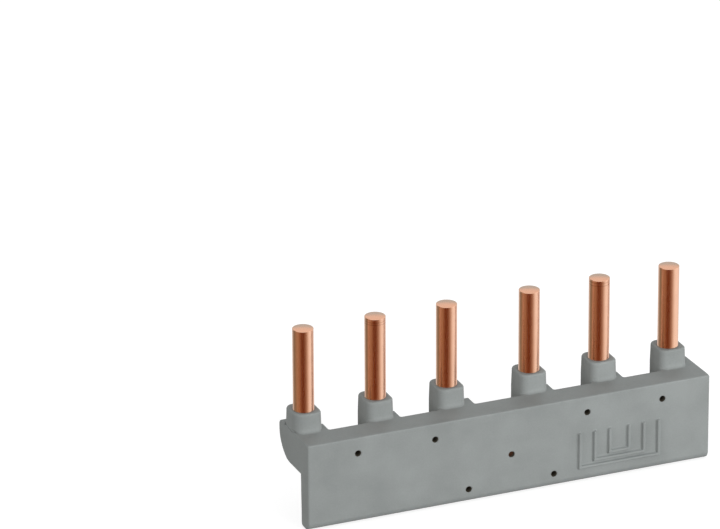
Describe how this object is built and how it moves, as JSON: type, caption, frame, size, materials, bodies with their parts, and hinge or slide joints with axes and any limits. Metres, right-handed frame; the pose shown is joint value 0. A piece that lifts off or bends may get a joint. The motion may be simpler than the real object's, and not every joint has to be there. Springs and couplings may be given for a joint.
{
  "type": "comb busbar",
  "caption": "Straight comb busbar: a grey moulded bar with a flat front face, end ribs behind it and a row of upright round copper pins on square bosses.",
  "frame": {"origin": "midway between the two inner pins, on the plane of the pins' axes, level with the tops of the bosses", "axes": "+X along the row of pins, -Y out of the flat front face, +Z along the pins towards their tips"},
  "size_m": [0.0808, 0.0143, 0.0366],
  "materials": {
    "grey_plastic": "fine satin texture of moulded engineering plastic",
    "copper": "bright drawn copper"
  },
  "bodies": {
    "root": {"moulding": "grey_plastic", "outer_bar": "copper", "middle_bar": "copper", "inner_bar": "copper", "pin_1": "copper", "pin_2": "copper", "pin_3": "copper", "pin_4": "copper", "pin_5": "copper", "pin_6": "copper"}
  },
  "joints": []
}
